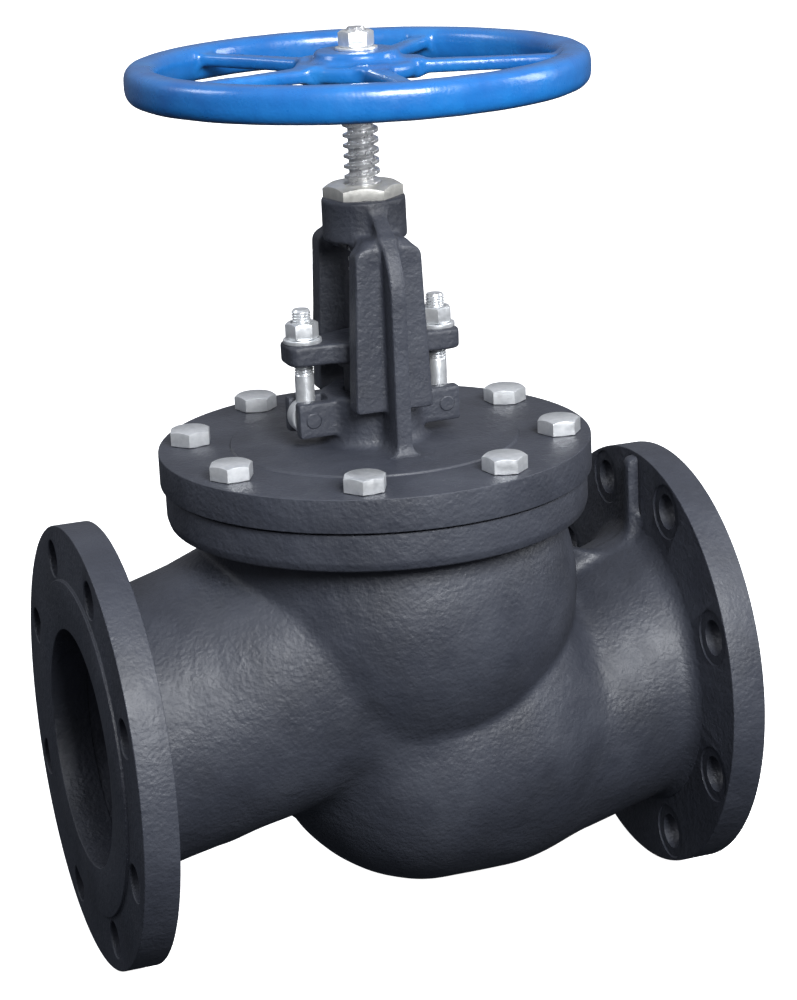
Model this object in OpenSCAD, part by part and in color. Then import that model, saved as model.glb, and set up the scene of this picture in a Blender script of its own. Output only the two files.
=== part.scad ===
// Globe valve, outside screw and yoke, rising handwheel, flanged ends.
// Millimetres. +X runs with the flow, from the inlet to the outlet, and +Z runs
// up the stem. The origin is the centre of the inlet flange's gasket face.
// The valve stands fully open. A full turn of the stem moves it one thread pitch.

/* [Pipe ends] */
// Distance between the two gasket faces
face_to_face = 406; // [390:1:500]
// Bore of the pipe ends
port_d = 150; // [120:1:180]
// Outside diameter of the pipe flanges
flange_d = 280; // [274:1:340]
// Thickness of a pipe flange with its raised face
flange_t = 24; // [18:0.5:32]
// Diameter of the raised gasket face
flange_face_d = 212; // [190:1:214]
// Height of the raised gasket face
flange_face_h = 2; // [1:0.5:4]
// Pitch circle of the flange bolts
flange_pcd = 240; // [238:1:246]
// Number of flange bolts
flange_bolts = 8; // [4:4:16]
// Diameter of the bolt holes in the inlet flange
flange_hole_d = 23; // [14:0.5:24]
// How much larger the bolt holes in the outlet flange are drilled
outlet_hole_extra = 0.4; // [0:0.1:1]
// Diameter of the spot face behind each flange bolt hole
spot_face_d = 36; // [30:1:38]

/* [Body casting] */
// Wall of the casting round the flow
wall = 12; // [9:0.5:16]
// Inside diameter of the neck, through which the disc goes in
chamber_d = 196; // [190:1:236]
// Height of the joint with the bonnet above the pipe axis
body_top_z = 151; // [140:1:185]
// Thickness of the body's top flange
body_flange_t = 25; // [20:1:32]
// Radius of the inside of the belly under the seat
belly_inner_r = 91; // [80:1:96]
// Centre of the belly, towards the inlet from the stem axis
belly_shift = 22; // [10:1:40]
// Centre of the belly below the pipe axis
belly_drop = 21; // [10:1:30]
// Outside radius of the round bowl that shows on the body's sides
bowl_r = 118; // [100:1:124]
// Height of the bowl's centre above the pipe axis
bowl_z = 78; // [60:1:90]
// Thickness of the stiffening webs
web_t = 10; // [6:1:16]

/* [Seat and disc] */
// Bore of the seat
seat_bore_d = 140; // [120:1:146]
// Height of the partition's top above the pipe axis
partition_top_z = 8; // [0:1:16]
// Thickness of the partition that holds the seat ring
partition_t = 20; // [14:1:24]
// Height that the seat ring stands above the partition
seat_ring_h = 6; // [4:0.5:10]
// Width of the sealing face
seat_face_w = 7; // [5:0.5:9]
// Thickness of the disc's plate
disc_plate_t = 16; // [12:1:22]
// Outside diameter of the disc's hub
disc_hub_d = 62; // [56:1:74]
// Thickness of the head on the stem's lower end
stem_head_t = 8; // [6:1:12]
// Diameter of the head on the stem's lower end
stem_head_d = 33; // [30:1:36]

/* [Stem] */
// Outside diameter of the stem and its thread
stem_d = 22; // [18:0.5:26]
// Rise of the stem in one turn
thread_pitch = 6.35; // [4:0.05:8]
// Turns of the handwheel from open to shut
turns_to_shut = 6; // [4:0.5:7]
// Across flats of the square that drives the handwheel
square_af = 15; // [12:0.5:15.5]
// Diameter of the stud on top of the stem
top_stud_d = 12; // [10:1:14]

/* [Bonnet] */
// Thickness of the bonnet's flange
bonnet_t = 21; // [16:1:28]
// Number of bonnet bolts
bonnet_bolts_n = 8; // [6:1:10]
// Thread diameter of the bonnet bolts
bonnet_bolt_d = 16; // [12:1:20]
// Thickness of the bonnet gasket
gasket_t = 1.5; // [1:0.1:3]
// Height of the middle of the bonnet's top above the bolt ring
bonnet_step_h = 1.6; // [0.8:0.1:3]
// Depth of the spigot that centres the bonnet in the body
spigot_h = 6; // [4:1:10]
// Outside diameter of the column round the packing
column_d = 62; // [56:1:70]

/* [Packing and gland] */
// Bore of the stuffing box
packing_d = 35; // [32:0.5:42]
// Number of packing rings
packing_rings_n = 5; // [3:1:6]
// Height of the stuffing box above the bonnet joint
stuffing_box_top = 54; // [50:1:64]
// Gap between the stuffing box and the gland flange
gland_gap = 21; // [17:1:26]
// Thickness of the gland flange
gland_flange_t = 13; // [10:1:18]
// Distance of each eye bolt from the stem axis
eye_bolt_x = 44; // [42:0.5:52]
// Diameter of the eye bolts
eye_bolt_d = 12; // [10:1:14]
// Outside radius of an eye bolt's eye
eye_r = 11; // [10:0.5:13]
// Diameter of the pins through the eyes
eye_pin_d = 10; // [8:0.5:11]
// Width of the lugs that hold the eye bolts
lug_w = 30; // [28:1:36]

/* [Yoke] */
// Height of the yoke's boss top above the bonnet joint
yoke_h = 175; // [165:1:200]
// Height of the yoke's boss
boss_h = 26; // [20:1:34]
// Outside diameter of the yoke's boss
boss_d = 52; // [46:1:60]
// Gap across the yoke's window
window_w = 56; // [54:1:72]
// Thickness of the yoke's leg plates
leg_plate_t = 14; // [8:1:16]
// Width of a leg plate at its top
leg_top_w = 42; // [34:1:48]
// Width of a leg plate at its bottom
leg_bottom_w = 50; // [42:1:56]
// Depth of the rib on the outside of each leg
rib_depth = 15; // [10:1:20]
// Thickness of the rib on the outside of each leg
rib_t = 10; // [7:1:14]
// Across flats of the yoke nut's head
yoke_nut_af = 43; // [40:1:48]
// Height of the yoke nut's head
yoke_nut_head_h = 8; // [6:1:12]

/* [Handwheel] */
// Outside diameter of the handwheel
wheel_d = 282; // [240:2:340]
// Width of the rim's section
rim_w = 20; // [16:1:26]
// Height of the rim's section
rim_h = 22; // [16:1:28]
// Height of the rim's middle above the yoke boss
rim_rise = 75; // [72:1:92]
// Number of spokes
spokes_n = 5; // [3:1:6]
// Direction of the first spoke, in degrees from +X towards +Y
spoke_phase = 15; // [0:1:72]
// Width of a spoke
spoke_w = 11; // [8:1:16]
// Height of a spoke
spoke_h = 9; // [7:1:14]
// Outside diameter of the hub's plate
hub_plate_d = 98; // [84:1:120]
// Diameter of the hub's boss
hub_d = 62; // [48:1:70]
// Height of the hub
hub_h = 36; // [30:1:44]
// Across flats of the handwheel nut
wheel_nut_af = 19; // [17:0.5:22]

/* [Fits] */
// Radial clearance of a shaft that turns or slides in its bore
running_gap = 0.06; // [0.02:0.01:0.1]
// Radial clearance of a piece that only passes through a hole
passing_gap = 0.6; // [0.4:0.1:1.5]
// Clearance between pieces that sit together without moving
seat_gap = 0.05; // [0.02:0.01:0.1]

/* [Hidden] */
$fn = 96;
eps = 0.01;

// Pipe ends, in a frame whose origin is where the stem axis meets the pipe axis.
half_length = face_to_face / 2;
port_r = port_d / 2;
barrel_r = port_r + wall + 2;
rim_x = half_length - flange_face_h;
flange_back_x = half_length - flange_t;
spot_face_depth = 1;
outlet_rise = 46;
collar_l = 30;
barrel_start_x = flange_back_x - 12;
port_bore_end_x = half_length - 60;
slope_start_x = port_bore_end_x + 15;

// Body and its top flange.
chamber_r = chamber_d / 2;
neck_r = chamber_r + wall + 4;
belly_r = belly_inner_r + wall;
partition_bottom_z = partition_top_z - partition_t;
bonnet_bolt_r = chamber_r + bonnet_bolt_d / 2 + 10;
bonnet_r = bonnet_bolt_r + bonnet_bolt_d / 2 + 12;
body_flange_r = bonnet_r - 3;
bolt_phase = 180 / bonnet_bolts_n;

// Seat and disc, with the valve fully open.
lift = thread_pitch * turns_to_shut;
seat_ring_shank_r = seat_bore_d / 2 + 6;
seat_ring_r = seat_bore_d / 2 + seat_face_w + 3;
seat_z = partition_top_z + seat_ring_h;
disc_bottom_z = seat_z + lift + seat_gap;
face_ring_h = 5;
face_ring_proud = 0.8;
face_ring_inner_r = seat_bore_d / 2 - 1;
face_ring_outer_r = seat_bore_d / 2 + seat_face_w + 1;
disc_r = face_ring_outer_r + 3;
seat_pocket_r = disc_r + 5;
chamber_floor_z = partition_top_z + 34;
disc_plate_top_z = disc_bottom_z + face_ring_proud + disc_plate_t;
head_r = stem_head_d / 2;
head_bottom_z = disc_bottom_z + face_ring_proud + disc_plate_t - 6;
head_top_z = head_bottom_z + stem_head_t;
head_gap = 0.3;
disc_nut_t = 13;
disc_nut_thread_r = head_r + 6;
disc_nut_hex_h = 8;
disc_hub_top_z = head_top_z + head_gap + disc_nut_t;

// Bonnet stack, from the joint upwards.
joint_z = body_top_z + gasket_t;
bonnet_top_z = joint_z + bonnet_t;
bonnet_step_r = bonnet_bolt_r - bonnet_bolt_d - 9;
stuffing_top_z = joint_z + stuffing_box_top;
stem_r = stem_d / 2;
packing_r = packing_d / 2;
packing_section = packing_r - stem_r;
packing_washer_t = 3;
packing_rings_h = packing_rings_n * packing_section;
follower_insert = 5;
packing_top_z = stuffing_top_z - follower_insert;
packing_bottom_z = packing_top_z - packing_rings_h;
stuffing_bottom_z = packing_bottom_z - packing_washer_t;
back_seat_r = packing_r + 2.5;
back_seat_top_z = joint_z + 6;
back_seat_bottom_z = joint_z - 13;
back_seat_cone = 5;
collar_gap = 0.3;
collar_r = stem_r + back_seat_cone;
underside_boss_r = back_seat_r + 9;

// Gland.
gland_bottom_z = stuffing_top_z + gland_gap;
gland_top_z = gland_bottom_z + gland_flange_t;
follower_head_t = 5;
follower_head_r = packing_r + 3.5;
gland_arm_w = lug_w - 2;
gland_reach = eye_bolt_x + eye_bolt_d;
washer_t = 2.5;
washer_r = eye_bolt_d;
gland_nut_h = eye_bolt_d * 0.87;
gland_nut_af = eye_bolt_d * 1.5;
eye_bolt_top_z = gland_top_z + washer_t + gland_nut_h + 8;

// Lugs that carry the eye bolts.
lug_h = 2 * eye_r;
lug_z = stuffing_top_z - eye_r - 2;
lug_reach = eye_bolt_x + eye_r - 2;
slot_w = eye_bolt_d + 1.4;

// Yoke and the yoke nut in its boss.
boss_top_z = joint_z + yoke_h;
boss_bottom_z = boss_top_z - boss_h;
leg_inner_y = window_w / 2;
leg_outer_y = leg_inner_y + leg_plate_t;
rib_outer_y = leg_outer_y + rib_depth;
leg_top_z = boss_bottom_z;
leg_bottom_z = stuffing_top_z - 6;
yoke_nut_r = stem_r + 6;

// Stem, from its head to the stud on top.
thread_depth = thread_pitch / 2;
hub_bottom_z = boss_top_z + rim_rise - rim_h;
hub_top_z = hub_bottom_z + hub_h;
thread_top_z = hub_bottom_z - 2;
thread_bottom_z = gland_top_z + lift;
thread_turns = floor((thread_top_z - thread_bottom_z) / thread_pitch);
wheel_washer_t = 1.6;
wheel_washer_r = wheel_nut_af * 0.68;
wheel_nut_h = top_stud_d * 0.83;
stem_top_z = hub_top_z + wheel_washer_t + wheel_nut_h + 2;

// Handwheel.
wheel_r = wheel_d / 2;
rim_z = boss_top_z + rim_rise;
rim_mid_r = wheel_r - rim_w / 2;
hub_plate_t = 11;
hub_plate_z = rim_z + rim_h / 2 + 1 - hub_plate_t;
spoke_z = rim_z + rim_h / 2 - 1.5 - spoke_h;

iron = [0.13, 0.14, 0.16];
zinc = [0.78, 0.79, 0.80];
steel = [0.70, 0.71, 0.72];
bronze = [0.72, 0.63, 0.45];
graphite = [0.10, 0.10, 0.10];
blue = [0.06, 0.32, 0.72];

// Moves the stem axis from x = 0 to its place between the two gasket faces.
module on_stem_axis() {
    translate([half_length, 0, 0]) children();
}

// A solid of revolution from z0 up to z1, with an optional bore.
module ring(r, z0, z1, bore_r = 0) {
    translate([0, 0, z0]) difference() {
        cylinder(r = r, h = z1 - z0);
        if (bore_r > 0) translate([0, 0, -1]) cylinder(r = bore_r, h = z1 - z0 + 2);
    }
}

// A tapered tube's solid from point a to point b, both in the plane y = 0.
module taper(a, b, ra, rb) {
    run = b - a;
    translate([a[0], 0, a[1]])
        rotate([0, atan2(run[0], run[1]), 0])
            cylinder(r1 = ra, r2 = rb, h = norm(run));
}

// Hexagonal prism with its top corners bevelled, standing on z = 0.
module hex_prism(af, h, bevel = true) {
    corner_r = af / 2 / cos(30);
    if (bevel)
        intersection() {
            cylinder(r = corner_r, h = h, $fn = 6);
            union() {
                cylinder(r = corner_r + 1, h = h - (corner_r - af / 2) * 0.6);
                translate([0, 0, h - (corner_r - af / 2) * 0.6])
                    cylinder(r1 = corner_r + 0.2, r2 = af / 2 * 0.96, h = (corner_r - af / 2) * 0.6);
            }
        }
    else
        cylinder(r = corner_r, h = h, $fn = 6);
}

// Places children on a circle round the pipe axis, straddling the upright.
module on_flange_circle() {
    for (i = [0:flange_bolts - 1])
        rotate([(i + 0.5) * 360 / flange_bolts, 0, 0])
            translate([0, 0, flange_pcd / 2])
                children();
}

// Places children on the bonnet's bolt circle.
module on_bonnet_circle() {
    for (i = [0:bonnet_bolts_n - 1])
        rotate([0, 0, bolt_phase + i * 360 / bonnet_bolts_n])
            translate([bonnet_bolt_r, 0, 0])
                children();
}

// Places children at both eye bolts.
module at_eye_bolts() {
    for (side = [0, 180]) rotate([0, 0, side]) translate([eye_bolt_x, 0, 0]) children();
}

// One pipe flange on the +X end, with its holes and spot faces still to be cut.
module pipe_flange() {
    rotate([0, 90, 0]) {
        translate([0, 0, flange_back_x]) cylinder(r = flange_d / 2, h = rim_x - flange_back_x);
        translate([0, 0, rim_x - 1]) cylinder(r = flange_face_d / 2, h = flange_face_h + 1);
    }
}

module pipe_flange_cuts(hole_d) {
    on_flange_circle() rotate([0, 90, 0]) {
        translate([0, 0, flange_back_x - 1]) cylinder(d = hole_d, h = flange_t + 2);
        translate([0, 0, flange_back_x - 8]) cylinder(d = spot_face_d, h = 8 + spot_face_depth);
    }
}

// Outside of the casting: two barrels, the belly, the bowl, the neck and the webs.
module body_outside() {
    taper([barrel_start_x, 0], [0, outlet_rise], barrel_r, barrel_r);
    taper([-barrel_start_x, 0], [-belly_shift, -belly_drop], barrel_r, belly_r - 1);
    for (side = [0, 180]) rotate([0, 90, side])
        translate([0, 0, flange_back_x - collar_l]) cylinder(r = barrel_r + 2.5, h = collar_l + 1);
    translate([-belly_shift, 0, -belly_drop]) sphere(r = belly_r);
    intersection() {
        translate([0, 0, bowl_z]) sphere(r = bowl_r);
        translate([0, 0, bowl_z - bowl_r]) cylinder(r = bowl_r, h = body_top_z - 1 - bowl_z + bowl_r);
    }
    translate([0, 0, bowl_z]) cylinder(r = neck_r, h = body_top_z - body_flange_t - bowl_z + 1);
    translate([0, 0, body_top_z - body_flange_t]) cylinder(r = body_flange_r, h = body_flange_t);
    pipe_flange();
    mirror([1, 0, 0]) pipe_flange();
    inlet_web();
    outlet_web();
}

// Web in the corner between the inlet flange, the inlet barrel and the neck.
module inlet_web() {
    web_top_z = flange_d / 2 - 4;
    edge_x = flange_back_x - 7;
    edge_z = barrel_r - 6;
    edge_r = 26;
    translate([0, web_t / 2, 0]) rotate([90, 0, 0]) linear_extrude(web_t) difference() {
        polygon([[-flange_back_x - 1, 0], [-flange_back_x - 1, web_top_z],
                 [-edge_x, web_top_z], [-edge_x, edge_z + edge_r],
                 [-edge_x + edge_r, edge_z], [-neck_r + 2, edge_z + 8], [-neck_r + 2, 0]]);
        translate([-edge_x + edge_r, edge_z + edge_r]) circle(r = edge_r);
    }
}

// Low web under the outlet barrel, where it meets the belly.
module outlet_web() {
    web_bottom_z = -barrel_r + 24;
    translate([0, web_t / 2, 0]) rotate([90, 0, 0]) linear_extrude(web_t)
        polygon([[40, 0], [flange_back_x - 60, 0],
                 [flange_back_x - 90, web_bottom_z], [40, web_bottom_z]]);
}

// Solid that keeps the chamber above the seat apart from the inlet passage.
module partition_block() {
    translate([0, 0, partition_bottom_z])
        cylinder(r = chamber_r + wall - 3, h = body_top_z - partition_bottom_z);
}

// Straight bore of the pipe end on the +X side.
module port_bore() {
    translate([port_bore_end_x, 0, 0]) rotate([0, 90, 0])
        cylinder(r = port_r, h = half_length - port_bore_end_x + 1);
}

// Flow passage from the inlet to the underside of the seat.
module inlet_passage() {
    difference() {
        union() {
            mirror([1, 0, 0]) port_bore();
            taper([-slope_start_x, 0], [-belly_shift - 20, -belly_drop], port_r, belly_inner_r - 6);
            translate([-belly_shift, 0, -belly_drop]) sphere(r = belly_inner_r);
        }
        partition_block();
    }
}

// Flow passage above the seat: the chamber and the rising outlet.
module outlet_passage() {
    translate([0, 0, partition_top_z]) cylinder(r = seat_pocket_r, h = body_top_z - partition_top_z);
    translate([0, 0, chamber_floor_z]) cylinder(r = chamber_r, h = body_top_z - chamber_floor_z + 1);
    translate([0, 0, chamber_floor_z - chamber_r + seat_pocket_r])
        cylinder(r1 = seat_pocket_r, r2 = chamber_r, h = chamber_r - seat_pocket_r + eps);
    difference() {
        union() {
            taper([slope_start_x, 0], [0, outlet_rise], port_r, port_r);
            port_bore();
        }
        belly_shell();
    }
}

// Solid that keeps the space under the seat apart from the outlet passage.
module belly_shell() {
    intersection() {
        translate([-belly_shift, 0, -belly_drop]) sphere(r = belly_r);
        translate([-half_length, -half_length, -half_length])
            cube([face_to_face, face_to_face, half_length + partition_top_z]);
    }
}

module body() {
    color(iron) on_stem_axis() difference() {
        body_outside();
        inlet_passage();
        outlet_passage();
        translate([0, 0, partition_bottom_z - 1])
            cylinder(r = seat_ring_shank_r + seat_gap, h = partition_t + 2);
        on_bonnet_circle() translate([0, 0, body_top_z - body_flange_t - 1])
            cylinder(d = bonnet_bolt_d + 2 * seat_gap, h = body_flange_t + 2);
        pipe_flange_cuts(flange_hole_d + outlet_hole_extra);
        mirror([1, 0, 0]) pipe_flange_cuts(flange_hole_d);
    }
}

module seat_ring() {
    color(bronze) on_stem_axis() difference() {
        union() {
            ring(seat_ring_shank_r, partition_bottom_z, partition_top_z + 1);
            ring(seat_ring_r, partition_top_z + seat_gap, seat_z);
        }
        translate([0, 0, partition_bottom_z - 1]) cylinder(d = seat_bore_d, h = partition_t + seat_ring_h + 2);
    }
}

module disc() {
    color(bronze) on_stem_axis() difference() {
        union() {
            ring(disc_r, disc_bottom_z + face_ring_proud, disc_plate_top_z);
            ring(disc_hub_d / 2, disc_plate_top_z - 1, disc_hub_top_z);
        }
        ring(face_ring_outer_r + seat_gap, disc_bottom_z - 1, disc_bottom_z + face_ring_h, face_ring_inner_r - seat_gap);
        ring(head_r + 1, head_bottom_z - head_gap, disc_hub_top_z);
        ring(disc_nut_thread_r, head_top_z + head_gap, disc_hub_top_z + 1);
    }
}

module disc_face_ring() {
    color(steel) on_stem_axis()
        ring(face_ring_outer_r, disc_bottom_z, disc_bottom_z + face_ring_h - seat_gap, face_ring_inner_r);
}

// Threaded nut that keeps the stem's head in the disc.
module disc_nut() {
    color(bronze) on_stem_axis() difference() {
        union() {
            ring(disc_nut_thread_r - seat_gap, head_top_z + head_gap, disc_hub_top_z + 1);
            translate([0, 0, disc_hub_top_z + seat_gap])
                hex_prism(2 * disc_nut_thread_r * 0.98, disc_nut_hex_h);
        }
        translate([0, 0, head_top_z]) cylinder(r = stem_r + passing_gap, h = disc_nut_t + disc_nut_hex_h + 10);
    }
}

// Cuts the thread as a row of ring grooves with sloping flanks.
module thread_grooves() {
    for (i = [0:thread_turns - 1])
        translate([0, 0, thread_bottom_z + (i + 0.5) * thread_pitch])
            rotate_extrude() polygon([
                [stem_r - thread_depth, -thread_pitch * 0.18], [stem_r - thread_depth, thread_pitch * 0.18],
                [stem_r + 1, thread_pitch * 0.34], [stem_r + 1, -thread_pitch * 0.34]]);
}

module stem() {
    collar_top_z = back_seat_bottom_z - collar_gap + back_seat_cone;
    square_z = thread_top_z;
    color(steel) on_stem_axis() union() {
        difference() {
            ring(stem_r, head_top_z - 1, thread_top_z);
            thread_grooves();
        }
        ring(head_r, head_bottom_z, head_top_z);
        translate([0, 0, collar_top_z - back_seat_cone]) cylinder(r1 = collar_r, r2 = stem_r, h = back_seat_cone);
        ring(collar_r, collar_top_z - back_seat_cone - 6, collar_top_z - back_seat_cone);
        translate([-square_af / 2, -square_af / 2, square_z - 4])
            cube([square_af, square_af, hub_top_z - 1 - square_z + 4]);
        ring(top_stud_d / 2, hub_top_z - 2, stem_top_z);
    }
}

// One yoke leg on the +Y side: a tapered plate with a rib down its outside.
module yoke_leg() {
    translate([0, leg_outer_y, 0]) rotate([90, 0, 0]) linear_extrude(leg_plate_t) {
        shoulder_r = 6;
        polygon([[-leg_bottom_w / 2, leg_bottom_z], [leg_bottom_w / 2, leg_bottom_z],
                 [leg_top_w / 2, leg_top_z - shoulder_r], [-leg_top_w / 2, leg_top_z - shoulder_r]]);
        translate([-leg_top_w / 2 + shoulder_r, leg_top_z - shoulder_r - 1])
            square([leg_top_w - 2 * shoulder_r, shoulder_r + 1]);
        for (side = [-1, 1])
            translate([side * (leg_top_w / 2 - shoulder_r), leg_top_z - shoulder_r]) circle(r = shoulder_r);
    }
    translate([-rib_t / 2, 0, 0]) rotate([90, 0, 90]) linear_extrude(rib_t)
        polygon([[column_d / 2 - 4, bonnet_top_z - 1], [rib_outer_y + 2, bonnet_top_z - 1],
                 [rib_outer_y, leg_bottom_z], [rib_outer_y, leg_top_z - 8],
                 [boss_d / 2 - 1, boss_top_z - 6], [boss_d / 2 - 4, boss_bottom_z],
                 [leg_inner_y + 1, leg_top_z - 2], [leg_inner_y + 1, stuffing_top_z - 1],
                 [column_d / 2 - 4, stuffing_top_z - 1]]);
    translate([-leg_top_w / 2 + 8, boss_d / 2 - 8, leg_top_z - 1])
        cube([leg_top_w - 16, leg_outer_y - boss_d / 2 + 4, 7]);
    translate([-leg_top_w / 2 + 6, boss_d / 2 - 12, leg_top_z - 8])
        cube([leg_top_w - 12, leg_outer_y - boss_d / 2 + 10, 8]);
}

// Slotted lug that carries the eye bolt on the +X side.
module eye_bolt_lug() {
    difference() {
        translate([column_d / 2 - 6, -lug_w / 2, lug_z - lug_h / 2])
            cube([lug_reach - column_d / 2 + 6, lug_w, lug_h]);
        translate([eye_bolt_x - eye_r - 1.5, -slot_w / 2, lug_z - lug_h]) cube([lug_reach, slot_w, 2 * lug_h]);
        translate([eye_bolt_x, -lug_w, lug_z]) rotate([-90, 0, 0]) cylinder(r = eye_pin_d / 2 + seat_gap, h = 2 * lug_w);
    }
}

module bonnet() {
    color(iron) on_stem_axis() difference() {
        union() {
            ring(bonnet_r, joint_z, bonnet_top_z);
            ring(bonnet_step_r, bonnet_top_z - 1, bonnet_top_z + bonnet_step_h);
            ring(chamber_r - 2, joint_z - spigot_h, joint_z + 1);
            ring(underside_boss_r, back_seat_bottom_z, joint_z);
            ring(column_d / 2, bonnet_top_z - 1, stuffing_top_z);
            ring(boss_d / 2, boss_bottom_z, boss_top_z);
            for (side = [0, 180]) rotate([0, 0, side]) {
                yoke_leg();
                eye_bolt_lug();
            }
        }
        translate([0, 0, back_seat_bottom_z - 1])
            cylinder(r = stem_r + passing_gap, h = stuffing_top_z - back_seat_bottom_z);
        translate([0, 0, back_seat_bottom_z - 1])
            cylinder(r = back_seat_r + seat_gap, h = back_seat_top_z - back_seat_bottom_z + 1);
        translate([0, 0, stuffing_bottom_z])
            cylinder(r = packing_r, h = stuffing_top_z - stuffing_bottom_z + 1);
        translate([0, 0, boss_bottom_z - 10])
            cylinder(r = yoke_nut_r + seat_gap, h = boss_h + 20);
        on_bonnet_circle() translate([0, 0, joint_z - 1])
            cylinder(d = bonnet_bolt_d + 2 * passing_gap, h = bonnet_t + 2);
    }
}

module bonnet_gasket() {
    color(graphite) on_stem_axis()
        ring(bonnet_bolt_r - bonnet_bolt_d / 2 - 2, body_top_z, joint_z, chamber_r + 0.5);
}

module bonnet_bolts() {
    head_h = bonnet_bolt_d * 0.62;
    color(zinc) on_stem_axis() on_bonnet_circle() {
        ring(bonnet_bolt_d / 2, body_top_z - body_flange_t + 2, bonnet_top_z + 1);
        translate([0, 0, bonnet_top_z]) hex_prism(bonnet_bolt_d * 1.5, head_h);
    }
}

// Bush on which the stem's collar seals when the valve is fully open.
module back_seat_bush() {
    color(bronze) on_stem_axis() difference() {
        ring(back_seat_r, back_seat_bottom_z, back_seat_top_z - seat_gap);
        translate([0, 0, back_seat_bottom_z - 1])
            cylinder(r = stem_r + running_gap, h = back_seat_top_z - back_seat_bottom_z + 2);
        translate([0, 0, back_seat_bottom_z - eps]) cylinder(r1 = collar_r, r2 = stem_r, h = back_seat_cone);
    }
}

module packing_washer() {
    color(steel) on_stem_axis()
        ring(packing_r - seat_gap, stuffing_bottom_z, packing_bottom_z, stem_r + passing_gap / 2);
}

module packing_rings() {
    color(graphite) on_stem_axis()
        for (i = [0:packing_rings_n - 1])
            ring(packing_r - seat_gap, packing_bottom_z + i * packing_section,
                 packing_bottom_z + (i + 1) * packing_section - 0.1, stem_r + running_gap);
}

module gland_follower() {
    color(bronze) on_stem_axis() difference() {
        union() {
            ring(packing_r - 0.2, packing_top_z, gland_bottom_z - 1);
            ring(follower_head_r, gland_bottom_z - follower_head_t, gland_bottom_z);
        }
        translate([0, 0, packing_top_z - 1]) cylinder(r = stem_r + 0.3, h = gland_bottom_z - packing_top_z + 2);
    }
}

module gland_flange() {
    color(iron) on_stem_axis() difference() {
        union() {
            ring(follower_head_r + 4, gland_bottom_z, gland_top_z);
            translate([-gland_reach, -gland_arm_w / 2, gland_bottom_z])
                cube([2 * gland_reach, gland_arm_w, gland_flange_t]);
        }
        translate([0, 0, gland_bottom_z - 1]) cylinder(r = stem_r + 1.5, h = gland_flange_t + 2);
        at_eye_bolts() translate([0, 0, gland_bottom_z - 1])
            cylinder(r = eye_bolt_d / 2 + 0.75, h = gland_flange_t + 2);
    }
}

module gland_eye_bolts() {
    eye_t = eye_bolt_d;
    color(zinc) on_stem_axis() at_eye_bolts() difference() {
        union() {
            translate([0, eye_t / 2, lug_z]) rotate([90, 0, 0]) cylinder(r = eye_r, h = eye_t);
            ring(eye_bolt_d / 2, lug_z + 3, eye_bolt_top_z);
        }
        translate([0, eye_t, lug_z]) rotate([90, 0, 0]) cylinder(r = eye_pin_d / 2 + seat_gap, h = 2 * eye_t);
    }
}

module gland_washers() {
    color(zinc) on_stem_axis() at_eye_bolts()
        ring(washer_r, gland_top_z, gland_top_z + washer_t, eye_bolt_d / 2 + 0.5);
}

module gland_nuts() {
    color(zinc) on_stem_axis() at_eye_bolts() translate([0, 0, gland_top_z + washer_t]) difference() {
        hex_prism(gland_nut_af, gland_nut_h);
        translate([0, 0, -1]) cylinder(r = eye_bolt_d / 2 + running_gap, h = gland_nut_h + 2);
    }
}

module eye_bolt_pins() {
    color(zinc) on_stem_axis() at_eye_bolts()
        translate([0, lug_w / 2 + 2, lug_z]) rotate([90, 0, 0]) cylinder(d = eye_pin_d, h = lug_w + 4);
}

// Threaded bush that takes the stem's load into the yoke.
module yoke_nut() {
    color(bronze) on_stem_axis() difference() {
        union() {
            ring(yoke_nut_r, boss_bottom_z, boss_top_z + 1);
            translate([0, 0, boss_top_z]) hex_prism(yoke_nut_af, yoke_nut_head_h);
        }
        translate([0, 0, boss_bottom_z - 1]) cylinder(r = stem_r + running_gap, h = boss_h + yoke_nut_head_h + 2);
    }
}

module handwheel() {
    color(blue) on_stem_axis() difference() {
        union() {
            for (dz = [-1, 1]) translate([0, 0, rim_z + dz * (rim_h - rim_w) / 2])
                rotate_extrude() translate([rim_mid_r, 0]) circle(d = rim_w);
            ring(wheel_r, rim_z - (rim_h - rim_w) / 2, rim_z + (rim_h - rim_w) / 2, wheel_r - rim_w);
            for (i = [0:spokes_n - 1]) rotate([0, 0, spoke_phase + i * 360 / spokes_n])
                translate([hub_plate_d / 2 - 4, -spoke_w / 2, spoke_z])
                    cube([rim_mid_r - hub_plate_d / 2 + 4, spoke_w, spoke_h]);
            ring(hub_plate_d / 2, hub_plate_z, hub_plate_z + hub_plate_t);
            ring(hub_d / 2, hub_bottom_z, hub_top_z);
        }
        translate([-square_af / 2 - seat_gap, -square_af / 2 - seat_gap, hub_bottom_z - 1])
            cube([square_af + 2 * seat_gap, square_af + 2 * seat_gap, hub_h + 2]);
    }
}

module handwheel_washer() {
    color(zinc) on_stem_axis()
        ring(wheel_washer_r, hub_top_z, hub_top_z + wheel_washer_t, top_stud_d / 2 + 0.5);
}

module handwheel_nut() {
    color(zinc) on_stem_axis() translate([0, 0, hub_top_z + wheel_washer_t]) difference() {
        hex_prism(wheel_nut_af, wheel_nut_h);
        translate([0, 0, -1]) cylinder(d = top_stud_d + 2 * seat_gap, h = wheel_nut_h + 2);
    }
}

body();
seat_ring();
disc();
disc_face_ring();
disc_nut();
stem();
bonnet();
bonnet_gasket();
bonnet_bolts();
back_seat_bush();
packing_washer();
packing_rings();
gland_follower();
gland_flange();
gland_eye_bolts();
gland_nuts();
gland_washers();
eye_bolt_pins();
yoke_nut();
handwheel();
handwheel_washer();
handwheel_nut();
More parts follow.
